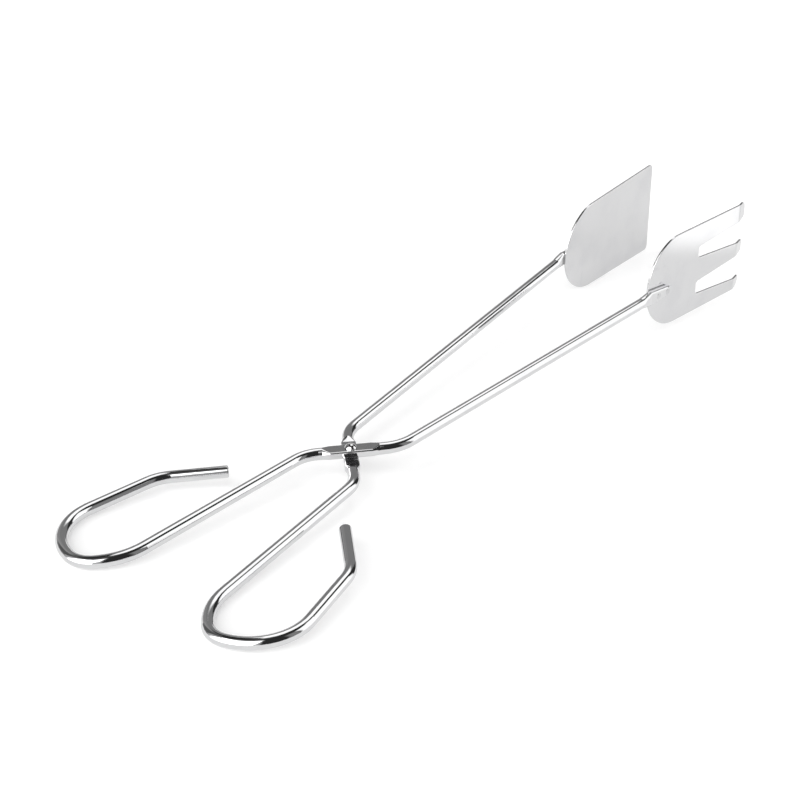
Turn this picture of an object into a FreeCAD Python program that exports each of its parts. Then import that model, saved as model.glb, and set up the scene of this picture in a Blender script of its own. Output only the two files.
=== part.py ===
"""Wire scissor tongs with a spatula blade and a fork blade.

Two bent round wires cross in pressed flats and turn on one rivet. Each wire is a lever: an open
handle loop at one end, and at the other a long straight arm with a thin sheet blade welded to it.

The tongs are drawn in their own plane first: U runs along them towards the blades, V across them
towards the spatula, W up the rivet, and the rivet's axis passes through the origin. They are then
laid down on the blades and the handle loops, with the origin at the middle of the footprint.
"""

import FreeCAD, Part
import math
import os

from FreeCAD import Placement, Rotation, Vector

# --- driving dimensions, millimetres and degrees -------------------------------------------------
WIRE_D = 5.0                 # round wire of both levers

LEAF_T = 3.2                 # pressed flat at the crossing: thickness
LEAF_W = 6.2                 # and width
LEAF_CORNER = 0.7
FORK_LEAF = (8.5, 8.5)       # full-width stretch from the rivet towards the handle and the arm
SPATULA_LEAF = (7.2, 10.0)
LEAF_TAPER = 3.0             # each end runs back to round wire over this length
BEND_START = 13.0            # the wire runs straight this far from the rivet, then bends
LEAF_GAP = 0.1               # running gap between the two flats
LEAF_ANGLE = 43.5            # between each flat and the tongs' centre line
FORK_OPEN = 0.5              # the fork lever stands this much further open at rest

ARM_BEND_R = 19.0            # centre-line radius of the bend between flat and arm
ARM_SPLAY = 4.7              # each arm leans out from the centre line
FORK_REACH = 186.1           # along U, from the rivet to the fork blade's base edge
SPATULA_REACH = 203.1        # and to the spatula blade's

HANDLE_BEND_R = 15.5         # bend between flat and handle
HANDLE_SPLAY = 4.2           # each handle's inner run leans out
INNER_RUN = 78.0             # straight inner run of the handle
LOOP_ARCS = ((26.5, 43.0), (10.1, 57.0), (22.5, 86.6))   # (radius, turn) round the back
OUTER_RUN = 26.3             # straight return run
END_BEND = (17.0, 32.3)      # (radius, turn) before the open end
END_RUN = 22.4               # straight open end
END_ROUND = 0.6              # broken edge of the cut wire end

RIVET_D = 3.0                # shank
RIVET_CLEARANCE = 0.05       # radial, in the lever that turns
RIVET_HEAD_D = 4.8
RIVET_HEAD_H = 1.7
RIVET_TAIL_D = 4.6
RIVET_TAIL_H = 1.0
RIVET_LAND = 0.3             # straight edge under each dome

SHEET_T = 1.0                # both blades
SHEET_EDGE = 0.25            # rounding of the sheet's edges
SPATULA_TOE = 5.7            # the spatula turns in from its arm towards the centre line
FORK_TOE = -3.6              # the fork turns out a little
PADDLE_T = 2.7               # arm end pressed flat against the blade
PADDLE_H = 6.8
PADDLE_END_H = 4.6
PADDLE_CORNER = 0.9
PADDLE_TAPER = 7.0           # round wire to paddle, just before the blade's edge
PADDLE_LENGTH = 13.0         # part of the paddle on the blade

SPATULA_LENGTH = 79.0
SPATULA_BASE_RUN = 24.0      # length of the rounded base
SPATULA_BASE_HALF = 22.2     # half height where the rounded base ends
SPATULA_TIP_HALF = 23.8
SPATULA_CORNER = 2.5

FORK_LENGTH = 75.3
FORK_BASE_RUN = 21.3
FORK_HALF = 22.5
FORK_LIFT = 2.3              # blade's middle above its wire
SLOT_ROOT = 37.4             # from the base edge to the closed end of each slot
UPPER_SLOT = ((5.2, 11.0), (1.8, 14.0))        # its edges above the blade's middle, closed end, tips
LOWER_SLOT = ((-13.9, -7.4), (-17.4, -4.0))
SLOT_ROOT_CORNER = 1.5
TIP_CORNER = 1.6             # rounded corners of the tines
OUTER_CORNER = 4.5           # the blade's own two corners
TIP_BEND = 19.0              # tine tips turn in towards the spatula
TIP_BEND_R = 6.0
TIP_LENGTH = 8.0             # length of the bent tips

# --- worked out from them ------------------------------------------------------------------------
WIRE_R = WIRE_D / 2
LEVEL = (LEAF_T + LEAF_GAP) / 2          # each lever's plane above or below the meeting plane
BLADE_OFFSET = (PADDLE_T + SHEET_T) / 2  # sheet's middle from the wire's centre line
UP = Vector(0, 0, 1)


def direction(angle):
    """Unit vector in the tongs' plane."""
    return Vector(math.cos(math.radians(angle)), math.sin(math.radians(angle)), 0)


def across(angle):
    """Unit vector to the left of direction(angle)."""
    return direction(angle + 90)


class Route:
    """A flat centre line of straight runs and tangent arcs, drawn like a path walked."""

    def __init__(self, start, heading):
        self.point = Vector(start)
        self.heading = heading
        self.edges = []

    def run(self, length):
        end = self.point + direction(self.heading) * length
        self.edges.append(Part.LineSegment(self.point, end).toShape())
        self.point = end
        return self

    def turn(self, radius, angle):
        side = math.copysign(1, angle)
        centre = self.point + across(self.heading) * radius * side
        middle = centre - across(self.heading + angle / 2) * radius * side
        end = centre - across(self.heading + angle) * radius * side
        self.edges.append(Part.Arc(self.point, middle, end).toShape())
        self.point = end
        self.heading += angle
        return self

    def rearmost(self):
        return min(Part.Wire(self.edges).discretize(400), key=lambda point: point.x)

    def tube(self, radius):
        """Round wire along the route."""
        first = self.edges[0]
        start = first.Vertexes[0].Point
        tangent = first.tangentAt(first.FirstParameter)
        ring = Part.Wire(Part.makeCircle(radius, start, tangent))
        return Part.Wire(self.edges).makePipeShell([ring], True, False)


def section(centre, along, width, height, corner):
    """Closed outline square to `along`: width across, height up, rounded corners.

    A corner radius of half the height and width gives a circle cut into the same eight edges, so
    that a loft between a round and a flat section stays untwisted.
    """
    side = UP.cross(along).normalize()
    round_bar = corner >= min(width, height) / 2 - 1e-6
    points = []
    for quadrant in range(4):
        first = 90 * quadrant + (15 if round_bar else 0)
        last = 90 * (quadrant + 1) - (15 if round_bar else 0)
        signs = ((1, 1), (-1, 1), (-1, -1), (1, -1))[quadrant]
        mid_y = signs[0] * (width / 2 - corner)
        mid_z = signs[1] * (height / 2 - corner)
        for angle in (first, (first + last) / 2, last):
            y = mid_y + corner * math.cos(math.radians(angle))
            z = mid_z + corner * math.sin(math.radians(angle))
            points.append(centre + side * y + UP * z)
    edges = []
    for quadrant in range(4):
        start, middle, end = points[3 * quadrant:3 * quadrant + 3]
        following = points[(3 * quadrant + 3) % 12]
        edges.append(Part.Arc(start, middle, end).toShape())
        if round_bar:
            bulge = (end + following) / 2 - centre
            top = centre + bulge.normalize() * corner
            edges.append(Part.Arc(end, top, following).toShape())
        else:
            edges.append(Part.LineSegment(end, following).toShape())
    return Part.Wire(edges)


def round_section(centre, along):
    return section(centre, along, WIRE_D, WIRE_D, WIRE_R)


def leaf_part(heading, level, reach):
    """Pressed flat through the rivet, tapering to round wire at both ends; reach is (back, fore)."""
    along = direction(heading)
    middle = Vector(0, 0, level)
    ends = (-reach[0], reach[1])
    flats = [section(middle + along * end, along, LEAF_W, LEAF_T, LEAF_CORNER) for end in ends]
    rounds = [
        round_section(middle + along * (end + math.copysign(LEAF_TAPER, end)), along) for end in ends
    ]
    pieces = [
        Part.makeLoft([rounds[0], flats[0]], True),
        Part.makeLoft(flats, True, True),
        Part.makeLoft([flats[1], rounds[1]], True),
    ]
    return fuse(pieces)


def fuse(shapes):
    joined = shapes[0].multiFuse(shapes[1:])
    return joined.Solids[0]


def handle_part(heading, level, side, leaf_end):
    """Bend, inner run, loop and open end, from the leaf backwards."""
    start = direction(heading) * leaf_end + Vector(0, 0, level)
    route = Route(start, heading)
    if leaf_end < BEND_START:
        route.run(BEND_START - leaf_end)
    route.turn(HANDLE_BEND_R, side * (LEAF_ANGLE - HANDLE_SPLAY))
    route.run(INNER_RUN)
    for radius, angle in LOOP_ARCS:
        route.turn(radius, -side * angle)
    route.run(OUTER_RUN)
    route.turn(END_BEND[0], -side * END_BEND[1])
    route.run(END_RUN)
    tube = route.tube(WIRE_R)
    rim = min(tube.Edges, key=lambda edge: (edge.CenterOfMass - route.point).Length)
    return tube.makeFillet(END_ROUND, [rim]), route.rearmost()


def arm_part(heading, level, side, reach, leaf_end):
    """Bend and straight arm up to the paddle; returns the wire and the blade's base point."""
    start = direction(heading) * leaf_end + Vector(0, 0, level)
    route = Route(start, heading)
    if leaf_end < BEND_START:
        route.run(BEND_START - leaf_end)
    route.turn(ARM_BEND_R, side * (LEAF_ANGLE - ARM_SPLAY))
    base_gap = (reach - route.point.x) / math.cos(math.radians(ARM_SPLAY))
    route.run(base_gap - PADDLE_TAPER)
    base = route.point + direction(route.heading) * PADDLE_TAPER
    return route.tube(WIRE_R), base, route


def paddle_part(route, base, blade_heading):
    """Wire end pressed flat, from round wire to its rounded end on the blade."""
    along = direction(blade_heading)
    far = base + along * PADDLE_LENGTH
    round_end = round_section(route.point, direction(route.heading))
    tall = section(base, along, PADDLE_T, PADDLE_H, PADDLE_CORNER)
    small = section(far, along, PADDLE_T, PADDLE_END_H, PADDLE_CORNER)
    nose = Part.makeCylinder(PADDLE_END_H / 2, PADDLE_T, far - across(blade_heading) * (PADDLE_T / 2),
                             across(blade_heading))
    return [
        Part.makeLoft([round_end, tall], True),
        Part.makeLoft([tall, small], True, True),
        nose,
    ]


def lever(side, level, reach, toe, bore_r, leaf_reach):
    """One bent wire. side is -1 where the arm is on the -V side, +1 where it is on +V."""
    arm_heading = side * LEAF_ANGLE
    leaf = leaf_part(arm_heading, level, leaf_reach)
    handle, back = handle_part(
        arm_heading + 180, level, -side, leaf_reach[0] + LEAF_TAPER)
    arm, base, route = arm_part(
        arm_heading, level, -side, reach, leaf_reach[1] + LEAF_TAPER)
    blade_heading = side * (ARM_SPLAY - toe)
    wire = fuse([leaf, handle, arm] + paddle_part(route, base, blade_heading))
    bore = Part.makeCylinder(bore_r, 2 * WIRE_D, Vector(0, 0, level - WIRE_D), UP)
    return wire.cut(bore).Solids[0], base, blade_heading, back


def rounded_base(run, half):
    """Half an ellipse from the top edge round the base to the bottom edge."""
    centre = Vector(run, 0, 0)
    low = centre - Vector(0, half, 0)
    high = centre + Vector(0, half, 0)
    if half > run:
        curve = Part.Ellipse(high, Vector(0, 0, 0), centre)
        return Part.ArcOfEllipse(curve, 0, math.pi).toShape(), high, low
    curve = Part.Ellipse(Vector(0, 0, 0), low, centre)
    return Part.ArcOfEllipse(curve, -math.pi / 2, math.pi / 2).toShape(), high, low


def line(start, end):
    return Part.LineSegment(start, end).toShape()


def plate(edges, corners, thickness):
    """Closed outline in the X-Y plane, as a plate centred on it; corners is {radius: [points]}."""
    outline = Part.Wire(Part.sortEdges(edges)[0])
    solid = Part.Face(outline).extrude(Vector(0, 0, thickness))
    solid.translate(Vector(0, 0, -thickness / 2))
    for radius, places in corners.items():
        upright = [
            edge for edge in solid.Edges
            if any(distance_across(edge, place) < 0.01 for place in places)
        ]
        solid = solid.makeFillet(radius, upright)
    return solid


def distance_across(edge, place):
    """How far an edge's middle is from the upright line through a place; flat edges are far."""
    ends = [vertex.Point for vertex in edge.Vertexes]
    if len(ends) < 2 or abs(ends[0].z - ends[-1].z) < 0.1:
        return math.inf
    middle = edge.CenterOfMass
    return math.hypot(middle.x - place.x, middle.y - place.y)


def spatula_plate():
    base, high, low = rounded_base(SPATULA_BASE_RUN, SPATULA_BASE_HALF)
    tip_high = Vector(SPATULA_LENGTH, SPATULA_TIP_HALF, 0)
    tip_low = Vector(SPATULA_LENGTH, -SPATULA_TIP_HALF, 0)
    edges = [base, line(low, tip_low), line(tip_low, tip_high), line(tip_high, high)]
    blade = plate(edges, {SPATULA_CORNER: [tip_high, tip_low]}, SHEET_T)
    return soften(blade)


def fork_plate():
    """Three tines with tapering slots between them, tips bent over."""
    base, high, low = rounded_base(FORK_BASE_RUN, FORK_HALF)
    outer = [Vector(FORK_LENGTH, FORK_HALF, 0), Vector(FORK_LENGTH, -FORK_HALF, 0)]
    around = [high, outer[0]] + slot(*UPPER_SLOT) + slot(*LOWER_SLOT) + [outer[1], low]
    edges = [base] + [line(a, b) for a, b in zip(around, around[1:])]
    tips = [p for p in around if p.x == FORK_LENGTH and p not in outer]
    roots = [p for p in around if p.x == SLOT_ROOT]
    blank = plate(edges, {OUTER_CORNER: outer, TIP_CORNER: tips, SLOT_ROOT_CORNER: roots}, 40)
    return soften(bent_sheet().common(blank).Solids[0])


def slot(closed_end, mouth):
    """Corners of one slot, from the top of its mouth round the closed end; each end is (low, high)."""
    return [
        Vector(FORK_LENGTH, mouth[1], 0),
        Vector(SLOT_ROOT, closed_end[1], 0),
        Vector(SLOT_ROOT, closed_end[0], 0),
        Vector(FORK_LENGTH, mouth[0], 0),
    ]


def bent_sheet():
    """The fork's sheet seen edge on, wide enough for the whole blade: flat, then bent at the tips."""
    half = SHEET_T / 2
    outer = bent_edge(half, TIP_BEND_R + half)
    inner = bent_edge(-half, TIP_BEND_R - half)
    ends = [
        line(outer.edges[0].Vertexes[0].Point, inner.edges[0].Vertexes[0].Point),
        line(outer.point, inner.point),
    ]
    profile = Part.Face(Part.Wire(Part.sortEdges(outer.edges + inner.edges + ends)[0]))
    strip = profile.extrude(Vector(0, 0, 4 * FORK_HALF))
    strip.rotate(Vector(0, 0, 0), Vector(1, 0, 0), 90)
    strip.translate(Vector(0, 2 * FORK_HALF, 0))
    return strip


def bent_edge(offset, radius):
    """One face of the fork's sheet seen edge on."""
    route = Route(Vector(-1, offset, 0), 0)
    route.run(FORK_LENGTH - TIP_LENGTH + 1)
    route.turn(radius, -TIP_BEND)
    route.run(2 * TIP_LENGTH)
    return route


def soften(blade):
    """Round every edge of a sheet a little."""
    return blade.makeFillet(SHEET_EDGE, blade.Edges).Solids[0]


def mount_blade(plate_shape, base, heading, side, lift):
    """Stand a plate up on its arm's inner face."""
    offset = across(heading) * (-side * BLADE_OFFSET) + UP * lift
    stand = Rotation(UP, heading).multiply(Rotation(Vector(1, 0, 0), 90))
    placed = plate_shape.copy()
    placed.Placement = Placement(base + offset, stand)
    return placed


def dome(diameter, height):
    """Rivet end: a short straight land under a domed cap, standing on the X-Y plane."""
    radius = diameter / 2
    edge = Vector(radius, 0, RIVET_LAND)
    top = Vector(0, 0, height)
    cap_r = (radius ** 2 + (height - RIVET_LAND) ** 2) / (2 * (height - RIVET_LAND))
    lean = math.asin(radius / cap_r) / 2
    middle = Vector(cap_r * math.sin(lean), 0, height - cap_r + cap_r * math.cos(lean))
    outline = Part.Wire([
        line(Vector(0, 0, 0), Vector(radius, 0, 0)),
        line(Vector(radius, 0, 0), edge),
        Part.Arc(edge, middle, top).toShape(),
        line(top, Vector(0, 0, 0)),
    ])
    return Part.Face(outline).revolve(Vector(0, 0, 0), UP, 360)


def rivet():
    """Domed head above the fork lever, shank through both flats, flatter tail below."""
    seat = LEAF_GAP / 2 + LEAF_T
    head = dome(RIVET_HEAD_D, RIVET_HEAD_H)
    head.translate(UP * (seat + LEAF_GAP))
    tail = dome(RIVET_TAIL_D, RIVET_TAIL_H)
    tail.rotate(Vector(0, 0, 0), Vector(1, 0, 0), 180)
    tail.translate(UP * -seat)
    shank = Part.makeCylinder(RIVET_D / 2, 2 * seat + LEAF_GAP, UP * -seat, UP)
    return fuse([shank, head, tail])


def build():
    """Every piece in the tongs' own plane, with the two loops' rearmost points."""
    spatula_lever, spatula_base, spatula_heading, spatula_back = lever(
        1, -LEVEL, SPATULA_REACH, SPATULA_TOE, RIVET_D / 2, SPATULA_LEAF)
    fork_lever, fork_base, fork_heading, fork_back = lever(
        -1, LEVEL, FORK_REACH, FORK_TOE, RIVET_D / 2 + RIVET_CLEARANCE, FORK_LEAF)
    fork_blade = mount_blade(fork_plate(), fork_base, fork_heading, -1, FORK_LIFT)
    for piece in (fork_lever, fork_blade):
        piece.rotate(Vector(0, 0, 0), UP, -FORK_OPEN)
    fork_back = Rotation(UP, -FORK_OPEN).multVec(fork_back)
    pieces = {
        "spatula_lever": spatula_lever,
        "spatula_blade": mount_blade(spatula_plate(), spatula_base, spatula_heading, 1, 0),
        "rivet": rivet(),
        "fork_lever": fork_lever,
        "fork_blade": fork_blade,
    }
    heel = spatula_base + direction(spatula_heading) * SPATULA_BASE_RUN
    supports = [
        heel - across(spatula_heading) * BLADE_OFFSET - UP * SPATULA_BASE_HALF,
        spatula_back - UP * WIRE_R,
        fork_back - UP * WIRE_R,
    ]
    return pieces, supports


def lay_down(pieces, supports):
    """Rest the tongs on both loops and the spatula's heel, centred over the origin."""
    heel, near, far = supports
    floor_normal = (near - heel).cross(far - heel).normalize()
    if floor_normal.z < 0:
        floor_normal = -floor_normal
    turn = Placement(Vector(0, 0, 0), Rotation(floor_normal, UP))
    for shape in pieces.values():
        shape.Placement = turn.multiply(shape.Placement)
    box = Part.makeCompound(list(pieces.values())).optimalBoundingBox(False)
    shift = Vector(-(box.XMin + box.XMax) / 2, -(box.YMin + box.YMax) / 2, -box.ZMin)
    for shape in pieces.values():
        shape.translate(shift)
    hinge_point = turn.multVec(Vector(0, 0, 0)) + shift
    hinge_axis = turn.Rotation.multVec(UP)
    return hinge_point, hinge_axis


def main():
    os.makedirs("parts", exist_ok=True)
    pieces, supports = build()
    hinge_point, hinge_axis = lay_down(pieces, supports)
    for name, shape in pieces.items():
        shape.exportStep(f"parts/{name}.step")
        print(f"{name}: valid {shape.isValid()}, {shape.Volume / 1000:.2f} cm3, {len(shape.Solids)} solid")
    print("hinge at", hinge_point, "axis", hinge_axis)
    return pieces


main()
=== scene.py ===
"""Looks for the wire scissor tongs: chrome on the levers and blades, a pale floor and a soft studio."""
import math

import bpy
from mathutils import Matrix, Vector


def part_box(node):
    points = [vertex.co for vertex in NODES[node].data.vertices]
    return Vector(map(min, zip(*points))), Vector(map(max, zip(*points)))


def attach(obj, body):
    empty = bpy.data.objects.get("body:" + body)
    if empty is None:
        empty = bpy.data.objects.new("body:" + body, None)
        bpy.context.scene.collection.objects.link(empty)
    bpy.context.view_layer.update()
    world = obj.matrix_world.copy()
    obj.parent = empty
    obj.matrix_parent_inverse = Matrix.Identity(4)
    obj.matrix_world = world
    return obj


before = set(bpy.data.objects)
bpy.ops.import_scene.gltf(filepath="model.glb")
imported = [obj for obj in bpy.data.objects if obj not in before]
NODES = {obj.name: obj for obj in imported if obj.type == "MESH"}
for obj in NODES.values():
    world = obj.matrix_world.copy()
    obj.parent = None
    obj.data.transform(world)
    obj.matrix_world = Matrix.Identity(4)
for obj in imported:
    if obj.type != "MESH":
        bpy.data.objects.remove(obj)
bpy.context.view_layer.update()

# --- camera, in the row frame: degrees and metres -------------------------------------------------
VIEW_HEADING = 34.28      # compass heading of the view, from +X towards +Y
VIEW_DOWN = 28.95         # the camera looks down by this much
VIEW_ROLL = 4.86
VIEW_DISTANCE = 0.7552
AIM = Vector((-0.01685, 0.02279, 0.0))
LENS_MM = 78.6
SENSOR_MM = 36.0
CLIP = (0.01, 200)         # metres


def make_camera():
    data = bpy.data.cameras.new("camera")
    data.lens = LENS_MM
    data.sensor_width = SENSOR_MM
    data.clip_start, data.clip_end = CLIP
    camera = bpy.data.objects.new("camera", data)
    bpy.context.scene.collection.objects.link(camera)
    heading, down = math.radians(VIEW_HEADING), math.radians(VIEW_DOWN)
    forward = Vector((
        math.cos(heading) * math.cos(down),
        math.sin(heading) * math.cos(down),
        -math.sin(down),
    ))
    level = Vector((math.sin(heading), -math.cos(heading), 0))
    up = level.cross(forward)
    roll = Matrix.Rotation(math.radians(-VIEW_ROLL), 3, forward)
    right, up = roll @ level, roll @ up
    turn = Matrix((right, up, -forward)).transposed().to_4x4()
    camera.matrix_world = Matrix.Translation(AIM - forward * VIEW_DISTANCE) @ turn
    bpy.context.scene.camera = camera


class Graph:
    """A short way to write node trees."""

    def __init__(self, tree):
        self.tree = tree
        tree.nodes.clear()

    def add(self, kind, **settings):
        node = self.tree.nodes.new(kind)
        for name, value in settings.items():
            setattr(node, name, value)
        return node

    def feed(self, socket, value):
        if isinstance(value, bpy.types.NodeSocket):
            self.tree.links.new(value, socket)
        elif value is not None:
            socket.default_value = value

    def math(self, operation, a, b=None, c=None, clamp=False):
        node = self.add("ShaderNodeMath", operation=operation, use_clamp=clamp)
        for socket, value in zip(node.inputs, (a, b, c)):
            self.feed(socket, value)
        return node.outputs[0]

    def ramp(self, value, low, high, to_low=0.0, to_high=1.0, smooth=True):
        node = self.add("ShaderNodeMapRange", interpolation_type="SMOOTHSTEP" if smooth else "LINEAR")
        for name, entry in (("Value", value), ("From Min", low), ("From Max", high),
                            ("To Min", to_low), ("To Max", to_high)):
            self.feed(node.inputs[name], entry)
        return node.outputs["Result"]


# name: (azimuth from the view heading, half width, low, high, softness, lean, strength), degrees;
# lean moves the panel's middle this far round over LEAN_OVER degrees of height
STUDIO = {
    "key_softbox": (139, 41, -20, 62, 10, 12, 3.9),
    "key_fringe": (94, 9, -20, 62, 12, 0, 0.5),
    "key_spill": (150, 48, 58, 74, 10, 0, 0.7),
    "right_panel": (-78, 21, -20, 50, 7, 0, 1.6),
    "front_ceiling": (-11, 25, 41, 78, 7, 0, 1.6),
    "front_low": (2, 15, -20, 12, 12, 0, 1.2),
    "front_wall": (0, 34, 8, 44, 8, 0, 0.24),
    "left_stand": (43, 10, -20, 48, 10, 0, 0.28),
    "left_wall": (66, 18, -20, 60, 8, -10, 0.10),
    "left_foot": (56, 30, -20, 10, 14, 0, 0.14),
    "right_back": (-112, 10, -20, 52, 10, 0, 0.26),
    "back_wall": (184, 9, -20, 62, 8, 0, 0.55),
    "top": (0, 400, 80, 100, 8, 0, 0.06),
    "horizon": (0, 400, -20, 2, 4, 0, 0.20),
}
STUDIO_BASE = 0.035                  # strength where there is no panel
LEAN_OVER = 60                       # degrees of height over which a panel leans by its lean

FLOOR_SIZE = 60.0                    # metres
FLOOR_SHADE = 0.62
FLOOR_ROUGH = 0.9
FLOOR_GLOSS = 0.1
FLOOR_GLOW = 0.44
PAINTED_POOL_GLOW = 0.95                     # painted light: a pool on the floor in front of the fork glows brighter than the rest of the floor
PAINTED_POOL_FROM_FORK = (0.07, -0.13)       # its middle from the fork blade's front right corner, metres
PAINTED_POOL_EDGE = (0.045, 0.085)           # full and no strength, metres from its middle


def make_world():
    world = bpy.data.worlds.new("studio")
    bpy.context.scene.world = world
    world.use_nodes = True
    g = Graph(world.node_tree)
    place = g.add("ShaderNodeTexCoord").outputs["Generated"]
    split = g.add("ShaderNodeSeparateXYZ")
    g.feed(split.inputs[0], place)
    x, y, z = split.outputs
    azimuth = g.math("DEGREES", g.math("ARCTAN2", y, x))
    elevation = g.math("DEGREES", g.math("ARCSINE", z))
    total = STUDIO_BASE
    for centre, half, low, high, soft, lean, strength in STUDIO.values():
        middle = VIEW_HEADING + centre
        if lean:
            middle = g.math("MULTIPLY_ADD", elevation, lean / LEAN_OVER, middle)
        off = g.math("ABSOLUTE", g.math("WRAP", g.math("SUBTRACT", azimuth, middle), 180, -180))
        side = g.ramp(off, half - soft / 2, half + soft / 2, 1, 0)
        above = g.ramp(elevation, low - soft / 2, low + soft / 2)
        below = g.ramp(elevation, high - soft / 2, high + soft / 2, 1, 0)
        mask = g.math("MULTIPLY", g.math("MULTIPLY", side, above), below)
        total = g.math("MULTIPLY_ADD", mask, strength, total)
    back = g.add("ShaderNodeBackground")
    g.feed(back.inputs["Color"], total)
    out = g.add("ShaderNodeOutputWorld")
    g.feed(out.inputs["Surface"], back.outputs[0])


def make_floor():
    mesh = bpy.data.meshes.new("floor")
    h = FLOOR_SIZE / 2
    mesh.from_pydata([(-h, -h, 0), (h, -h, 0), (h, h, 0), (-h, h, 0)], [], [(0, 1, 2, 3)])
    floor = bpy.data.objects.new("floor", mesh)
    bpy.context.scene.collection.objects.link(floor)
    material = bpy.data.materials.new("floor")
    material.use_nodes = True
    g = Graph(material.node_tree)
    shader = g.add("ShaderNodeBsdfPrincipled")
    shader.inputs["Base Color"].default_value = (FLOOR_SHADE, FLOOR_SHADE, FLOOR_SHADE, 1)
    shader.inputs["Roughness"].default_value = FLOOR_ROUGH
    shader.inputs["Specular IOR Level"].default_value = FLOOR_GLOSS
    shader.inputs["Emission Color"].default_value = (1, 1, 1, 1)
    low, high = (Vector(corner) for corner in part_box("fork_blade"))
    away = g.add("ShaderNodeVectorMath", operation="DISTANCE")
    g.feed(away.inputs[0], g.add("ShaderNodeTexCoord").outputs["Object"])
    g.feed(away.inputs[1], (high.x + PAINTED_POOL_FROM_FORK[0], low.y + PAINTED_POOL_FROM_FORK[1], 0))
    # the floor's even glow, raised to a painted pool of light near the pool's middle in front of the
    # fork
    glow_with_painted_pool = g.ramp(away.outputs["Value"], *PAINTED_POOL_EDGE, PAINTED_POOL_GLOW, FLOOR_GLOW)
    g.feed(shader.inputs["Emission Strength"], glow_with_painted_pool)
    g.feed(g.add("ShaderNodeOutputMaterial").inputs["Surface"], shader.outputs[0])
    mesh.materials.append(material)


# plating: each noise is (scale, detail), each threshold is where its ramp starts and ends
SMUDGE = (55, 5)
SMUDGE_RAMP = (0.42, 0.68)
SMUDGE_DULL = 0.7                    # how much a smudge adds to the roughness, as a share of it
SMUDGE_TINT = 0.7
HAIR = (1, 2)
HAIR_RAMP = (0.60, 0.66)
STRAY = (1, 1)
STRAY_GRAIN = (90, 2400, 1700)       # per metre
STRAY_TURN = (0.5, 0.3, 0.9)         # radians
STRAY_RAMP = (0.665, 0.70)
PATCH = (38, 2)                      # stray scratches come in patches
PATCH_RAMP = (0.46, 0.60)
LINE_DULL = 0.5
EDGE_RAMP = (0.53, 0.60)             # pointiness
RUB = (260, 3)
RUB_RAMP = (0.35, 0.62)
RUB_DULL = 0.10
DULL_TINT = (0.93, 0.93, 0.94)
RIPPLE = (100, 1)
FINE_RIPPLE = (300, 1)
FINE_SHARE = 0.15
RIPPLE_DEPTH = 0.0010                # metres
SCORE_STRENGTH = 0.07
SCORE_DEPTH = 0.00002


def chrome(name, tint, rough, grain, peel):
    """Plated steel: polish smudges, hairline scratches, a little plating ripple, and edges rubbed dull.

    grain stretches the hairlines, per metre along X, Y and Z; peel is the ripple's strength.
    """
    material = bpy.data.materials.new(name)
    material.use_nodes = True
    g = Graph(material.node_tree)
    place = g.add("ShaderNodeTexCoord").outputs["Object"]

    def noise(scale, detail, stretch=None, turn=(0, 0, 0)):
        where = place
        if stretch:
            mapping = g.add("ShaderNodeMapping")
            g.feed(mapping.inputs["Vector"], place)
            mapping.inputs["Scale"].default_value = stretch
            mapping.inputs["Rotation"].default_value = turn
            where = mapping.outputs[0]
        texture = g.add("ShaderNodeTexNoise")
        g.feed(texture.inputs["Vector"], where)
        texture.inputs["Scale"].default_value = scale
        texture.inputs["Detail"].default_value = detail
        return texture.outputs["Fac"]

    smudge = g.ramp(noise(*SMUDGE), *SMUDGE_RAMP)
    hair = g.ramp(noise(*HAIR, grain), *HAIR_RAMP)
    stray = g.ramp(noise(*STRAY, STRAY_GRAIN, STRAY_TURN), *STRAY_RAMP)
    patch = g.ramp(noise(*PATCH), *PATCH_RAMP)
    lines = g.math("MAXIMUM", hair, g.math("MULTIPLY", stray, patch), clamp=True)
    edge = g.ramp(g.add("ShaderNodeNewGeometry").outputs["Pointiness"], *EDGE_RAMP)
    worn = g.math("MULTIPLY", edge, g.ramp(noise(*RUB), *RUB_RAMP))

    shader = g.add("ShaderNodeBsdfPrincipled")
    colour = g.add("ShaderNodeMix", data_type="RGBA")
    share = g.math("MAXIMUM", g.math("MULTIPLY", smudge, SMUDGE_TINT), worn, clamp=True)
    g.feed(colour.inputs["Factor"], share)
    g.feed(colour.inputs["A"], (*tint, 1))
    g.feed(colour.inputs["B"], (*(a * b for a, b in zip(tint, DULL_TINT)), 1))
    g.feed(shader.inputs["Base Color"], colour.outputs["Result"])
    shader.inputs["Metallic"].default_value = 1
    dull = g.math("MULTIPLY_ADD", smudge, rough * SMUDGE_DULL, rough)
    dull = g.math("MULTIPLY_ADD", lines, rough * LINE_DULL, dull)
    g.feed(shader.inputs["Roughness"], g.math("MULTIPLY_ADD", worn, RUB_DULL, dull))

    ripple = g.math("MULTIPLY_ADD", noise(*FINE_RIPPLE), FINE_SHARE, noise(*RIPPLE))
    bump = g.add("ShaderNodeBump")
    bump.inputs["Strength"].default_value = peel
    bump.inputs["Distance"].default_value = RIPPLE_DEPTH
    g.feed(bump.inputs["Height"], ripple)
    scored = g.add("ShaderNodeBump", invert=True)
    scored.inputs["Strength"].default_value = SCORE_STRENGTH
    scored.inputs["Distance"].default_value = SCORE_DEPTH
    g.feed(scored.inputs["Height"], lines)
    g.feed(scored.inputs["Normal"], bump.outputs[0])
    g.feed(shader.inputs["Normal"], scored.outputs[0])
    g.feed(g.add("ShaderNodeOutputMaterial").inputs["Surface"], shader.outputs[0])
    return material


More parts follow.
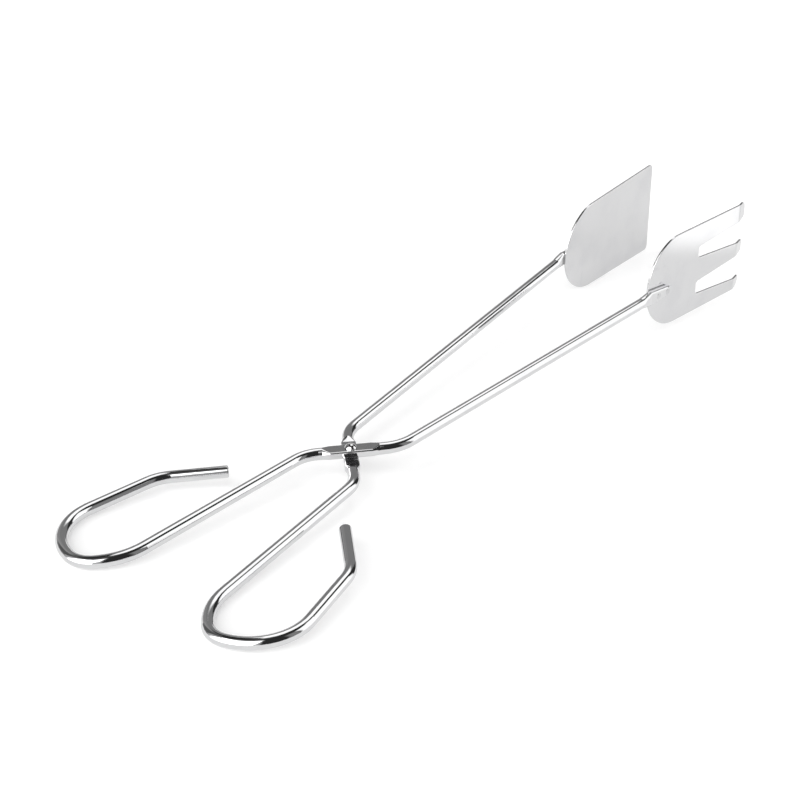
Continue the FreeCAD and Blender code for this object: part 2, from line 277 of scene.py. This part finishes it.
# spot-weld mark, (radius, height) in metres from its middle outwards, and where the marks sit
WELD_PROFILE = (
    (0.00030, 0.00005), (0.00055, 0.00004), (0.00075, 0.00002), (0.00088, 0.00005), (0.00104, 0.00012),
    (0.00120, 0.00013), (0.00134, 0.00009), (0.00144, 0.00002), (0.00146, -0.00006),
)
WELD_CRATER = 0.00005              # the crater's middle, above the wire
WELD_ROOT = -0.00006               # the mark's hidden under side
WELD_SIDES = 40
WELD_WOBBLE = ((2, 0.035, 1), (5, 0.02, 2))     # out of round: (waves, strength, phase times)
WELD_TILT = 0.2                    # one side of the ring is lower by this share
WELD_SPOTS = (0.0040, 0.0105)      # back from the paddle's tip
PADDLE_STRIP = 0.006               # length at the tip that gives the paddle's middle
CAST_FROM = 0.05                   # rays start this far outside the lever
CAST_BESIDE = 0.02


def weld_mark(name, centre, normal, phase):
    """A shallow crater ring left by the welding electrode, a little out of round."""
    around = normal.orthogonal().normalized()
    beside = normal.cross(around)
    points = [centre + normal * WELD_CRATER, centre + normal * WELD_ROOT]
    for radius, height in WELD_PROFILE:
        for k in range(WELD_SIDES):
            turn = 2 * math.pi * k / WELD_SIDES
            wobble = 1 + sum(a * math.sin(n * turn + m * phase) for n, a, m in WELD_WOBBLE)
            tilt = 1 - WELD_TILT + WELD_TILT * math.sin(turn + phase)
            side = around * math.cos(turn) + beside * math.sin(turn)
            points.append(centre + side * radius * wobble + normal * height * tilt)

    def ring(row, k):
        return 2 + row * WELD_SIDES + k % WELD_SIDES

    faces = [(0, ring(0, k), ring(0, k + 1)) for k in range(WELD_SIDES)]
    for row in range(len(WELD_PROFILE) - 1):
        faces += [
            (ring(row, k), ring(row + 1, k), ring(row + 1, k + 1), ring(row, k + 1))
            for k in range(WELD_SIDES)
        ]
    last = len(WELD_PROFILE) - 1
    faces += [(1, ring(last, k + 1), ring(last, k)) for k in range(WELD_SIDES)]
    mesh = bpy.data.meshes.new(name)
    mesh.from_pydata(points, [], faces)
    mesh.shade_smooth()
    piece = bpy.data.objects.new(name, mesh)
    bpy.context.scene.collection.objects.link(piece)
    return piece


def weld_paddle(lever, body, material):
    """Two marks down the middle of the outer face of a lever's flattened end."""
    wire = NODES[lever]
    low, high = (Vector(corner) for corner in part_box(lever))
    end = [v.co for v in wire.data.vertices if v.co.x > high.x - PADDLE_STRIP]
    middle_y = sum(p.y for p in end) / len(end)
    outward = math.copysign(1, middle_y)
    for number, back in enumerate(WELD_SPOTS, 1):
        x = high.x - back
        top = wire.ray_cast(Vector((x, middle_y, high.z + CAST_FROM)), Vector((0, 0, -1)))[1]
        bottom = wire.ray_cast(Vector((x, middle_y, low.z - CAST_FROM)), Vector((0, 0, 1)))[1]
        start = Vector((x, middle_y + outward * CAST_BESIDE, (top.z + bottom.z) / 2))
        _, place, normal, _ = wire.ray_cast(start, Vector((0, -outward, 0)))
        mark = weld_mark(f"{body}_weld_{number}", place, normal, 1.7 * number + x * 40)
        mark.data.materials.append(material)
        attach(mark, body)


def dress(node, material):
    mesh = NODES[node].data
    mesh.materials.clear()
    mesh.materials.append(material)


make_camera()
make_world()
make_floor()
wire = chrome("chrome_wire", (0.63, 0.63, 0.635), 0.030, (160, 1900, 1900), 0.06)
sheet = chrome("chrome_sheet", (0.62, 0.62, 0.625), 0.075, (60, 2600, 2600), 0.035)
for name in ("spatula_lever", "fork_lever", "rivet"):
    dress(name, wire)
for name in ("spatula_blade", "fork_blade"):
    dress(name, sheet)
weld = chrome("chrome_weld", (0.56, 0.56, 0.565), 0.10, (900, 900, 900), 0.12)
weld_paddle("spatula_lever", "spatula_side", weld)
weld_paddle("fork_lever", "fork_side", weld)
bpy.context.scene.view_settings.view_transform = "Standard"
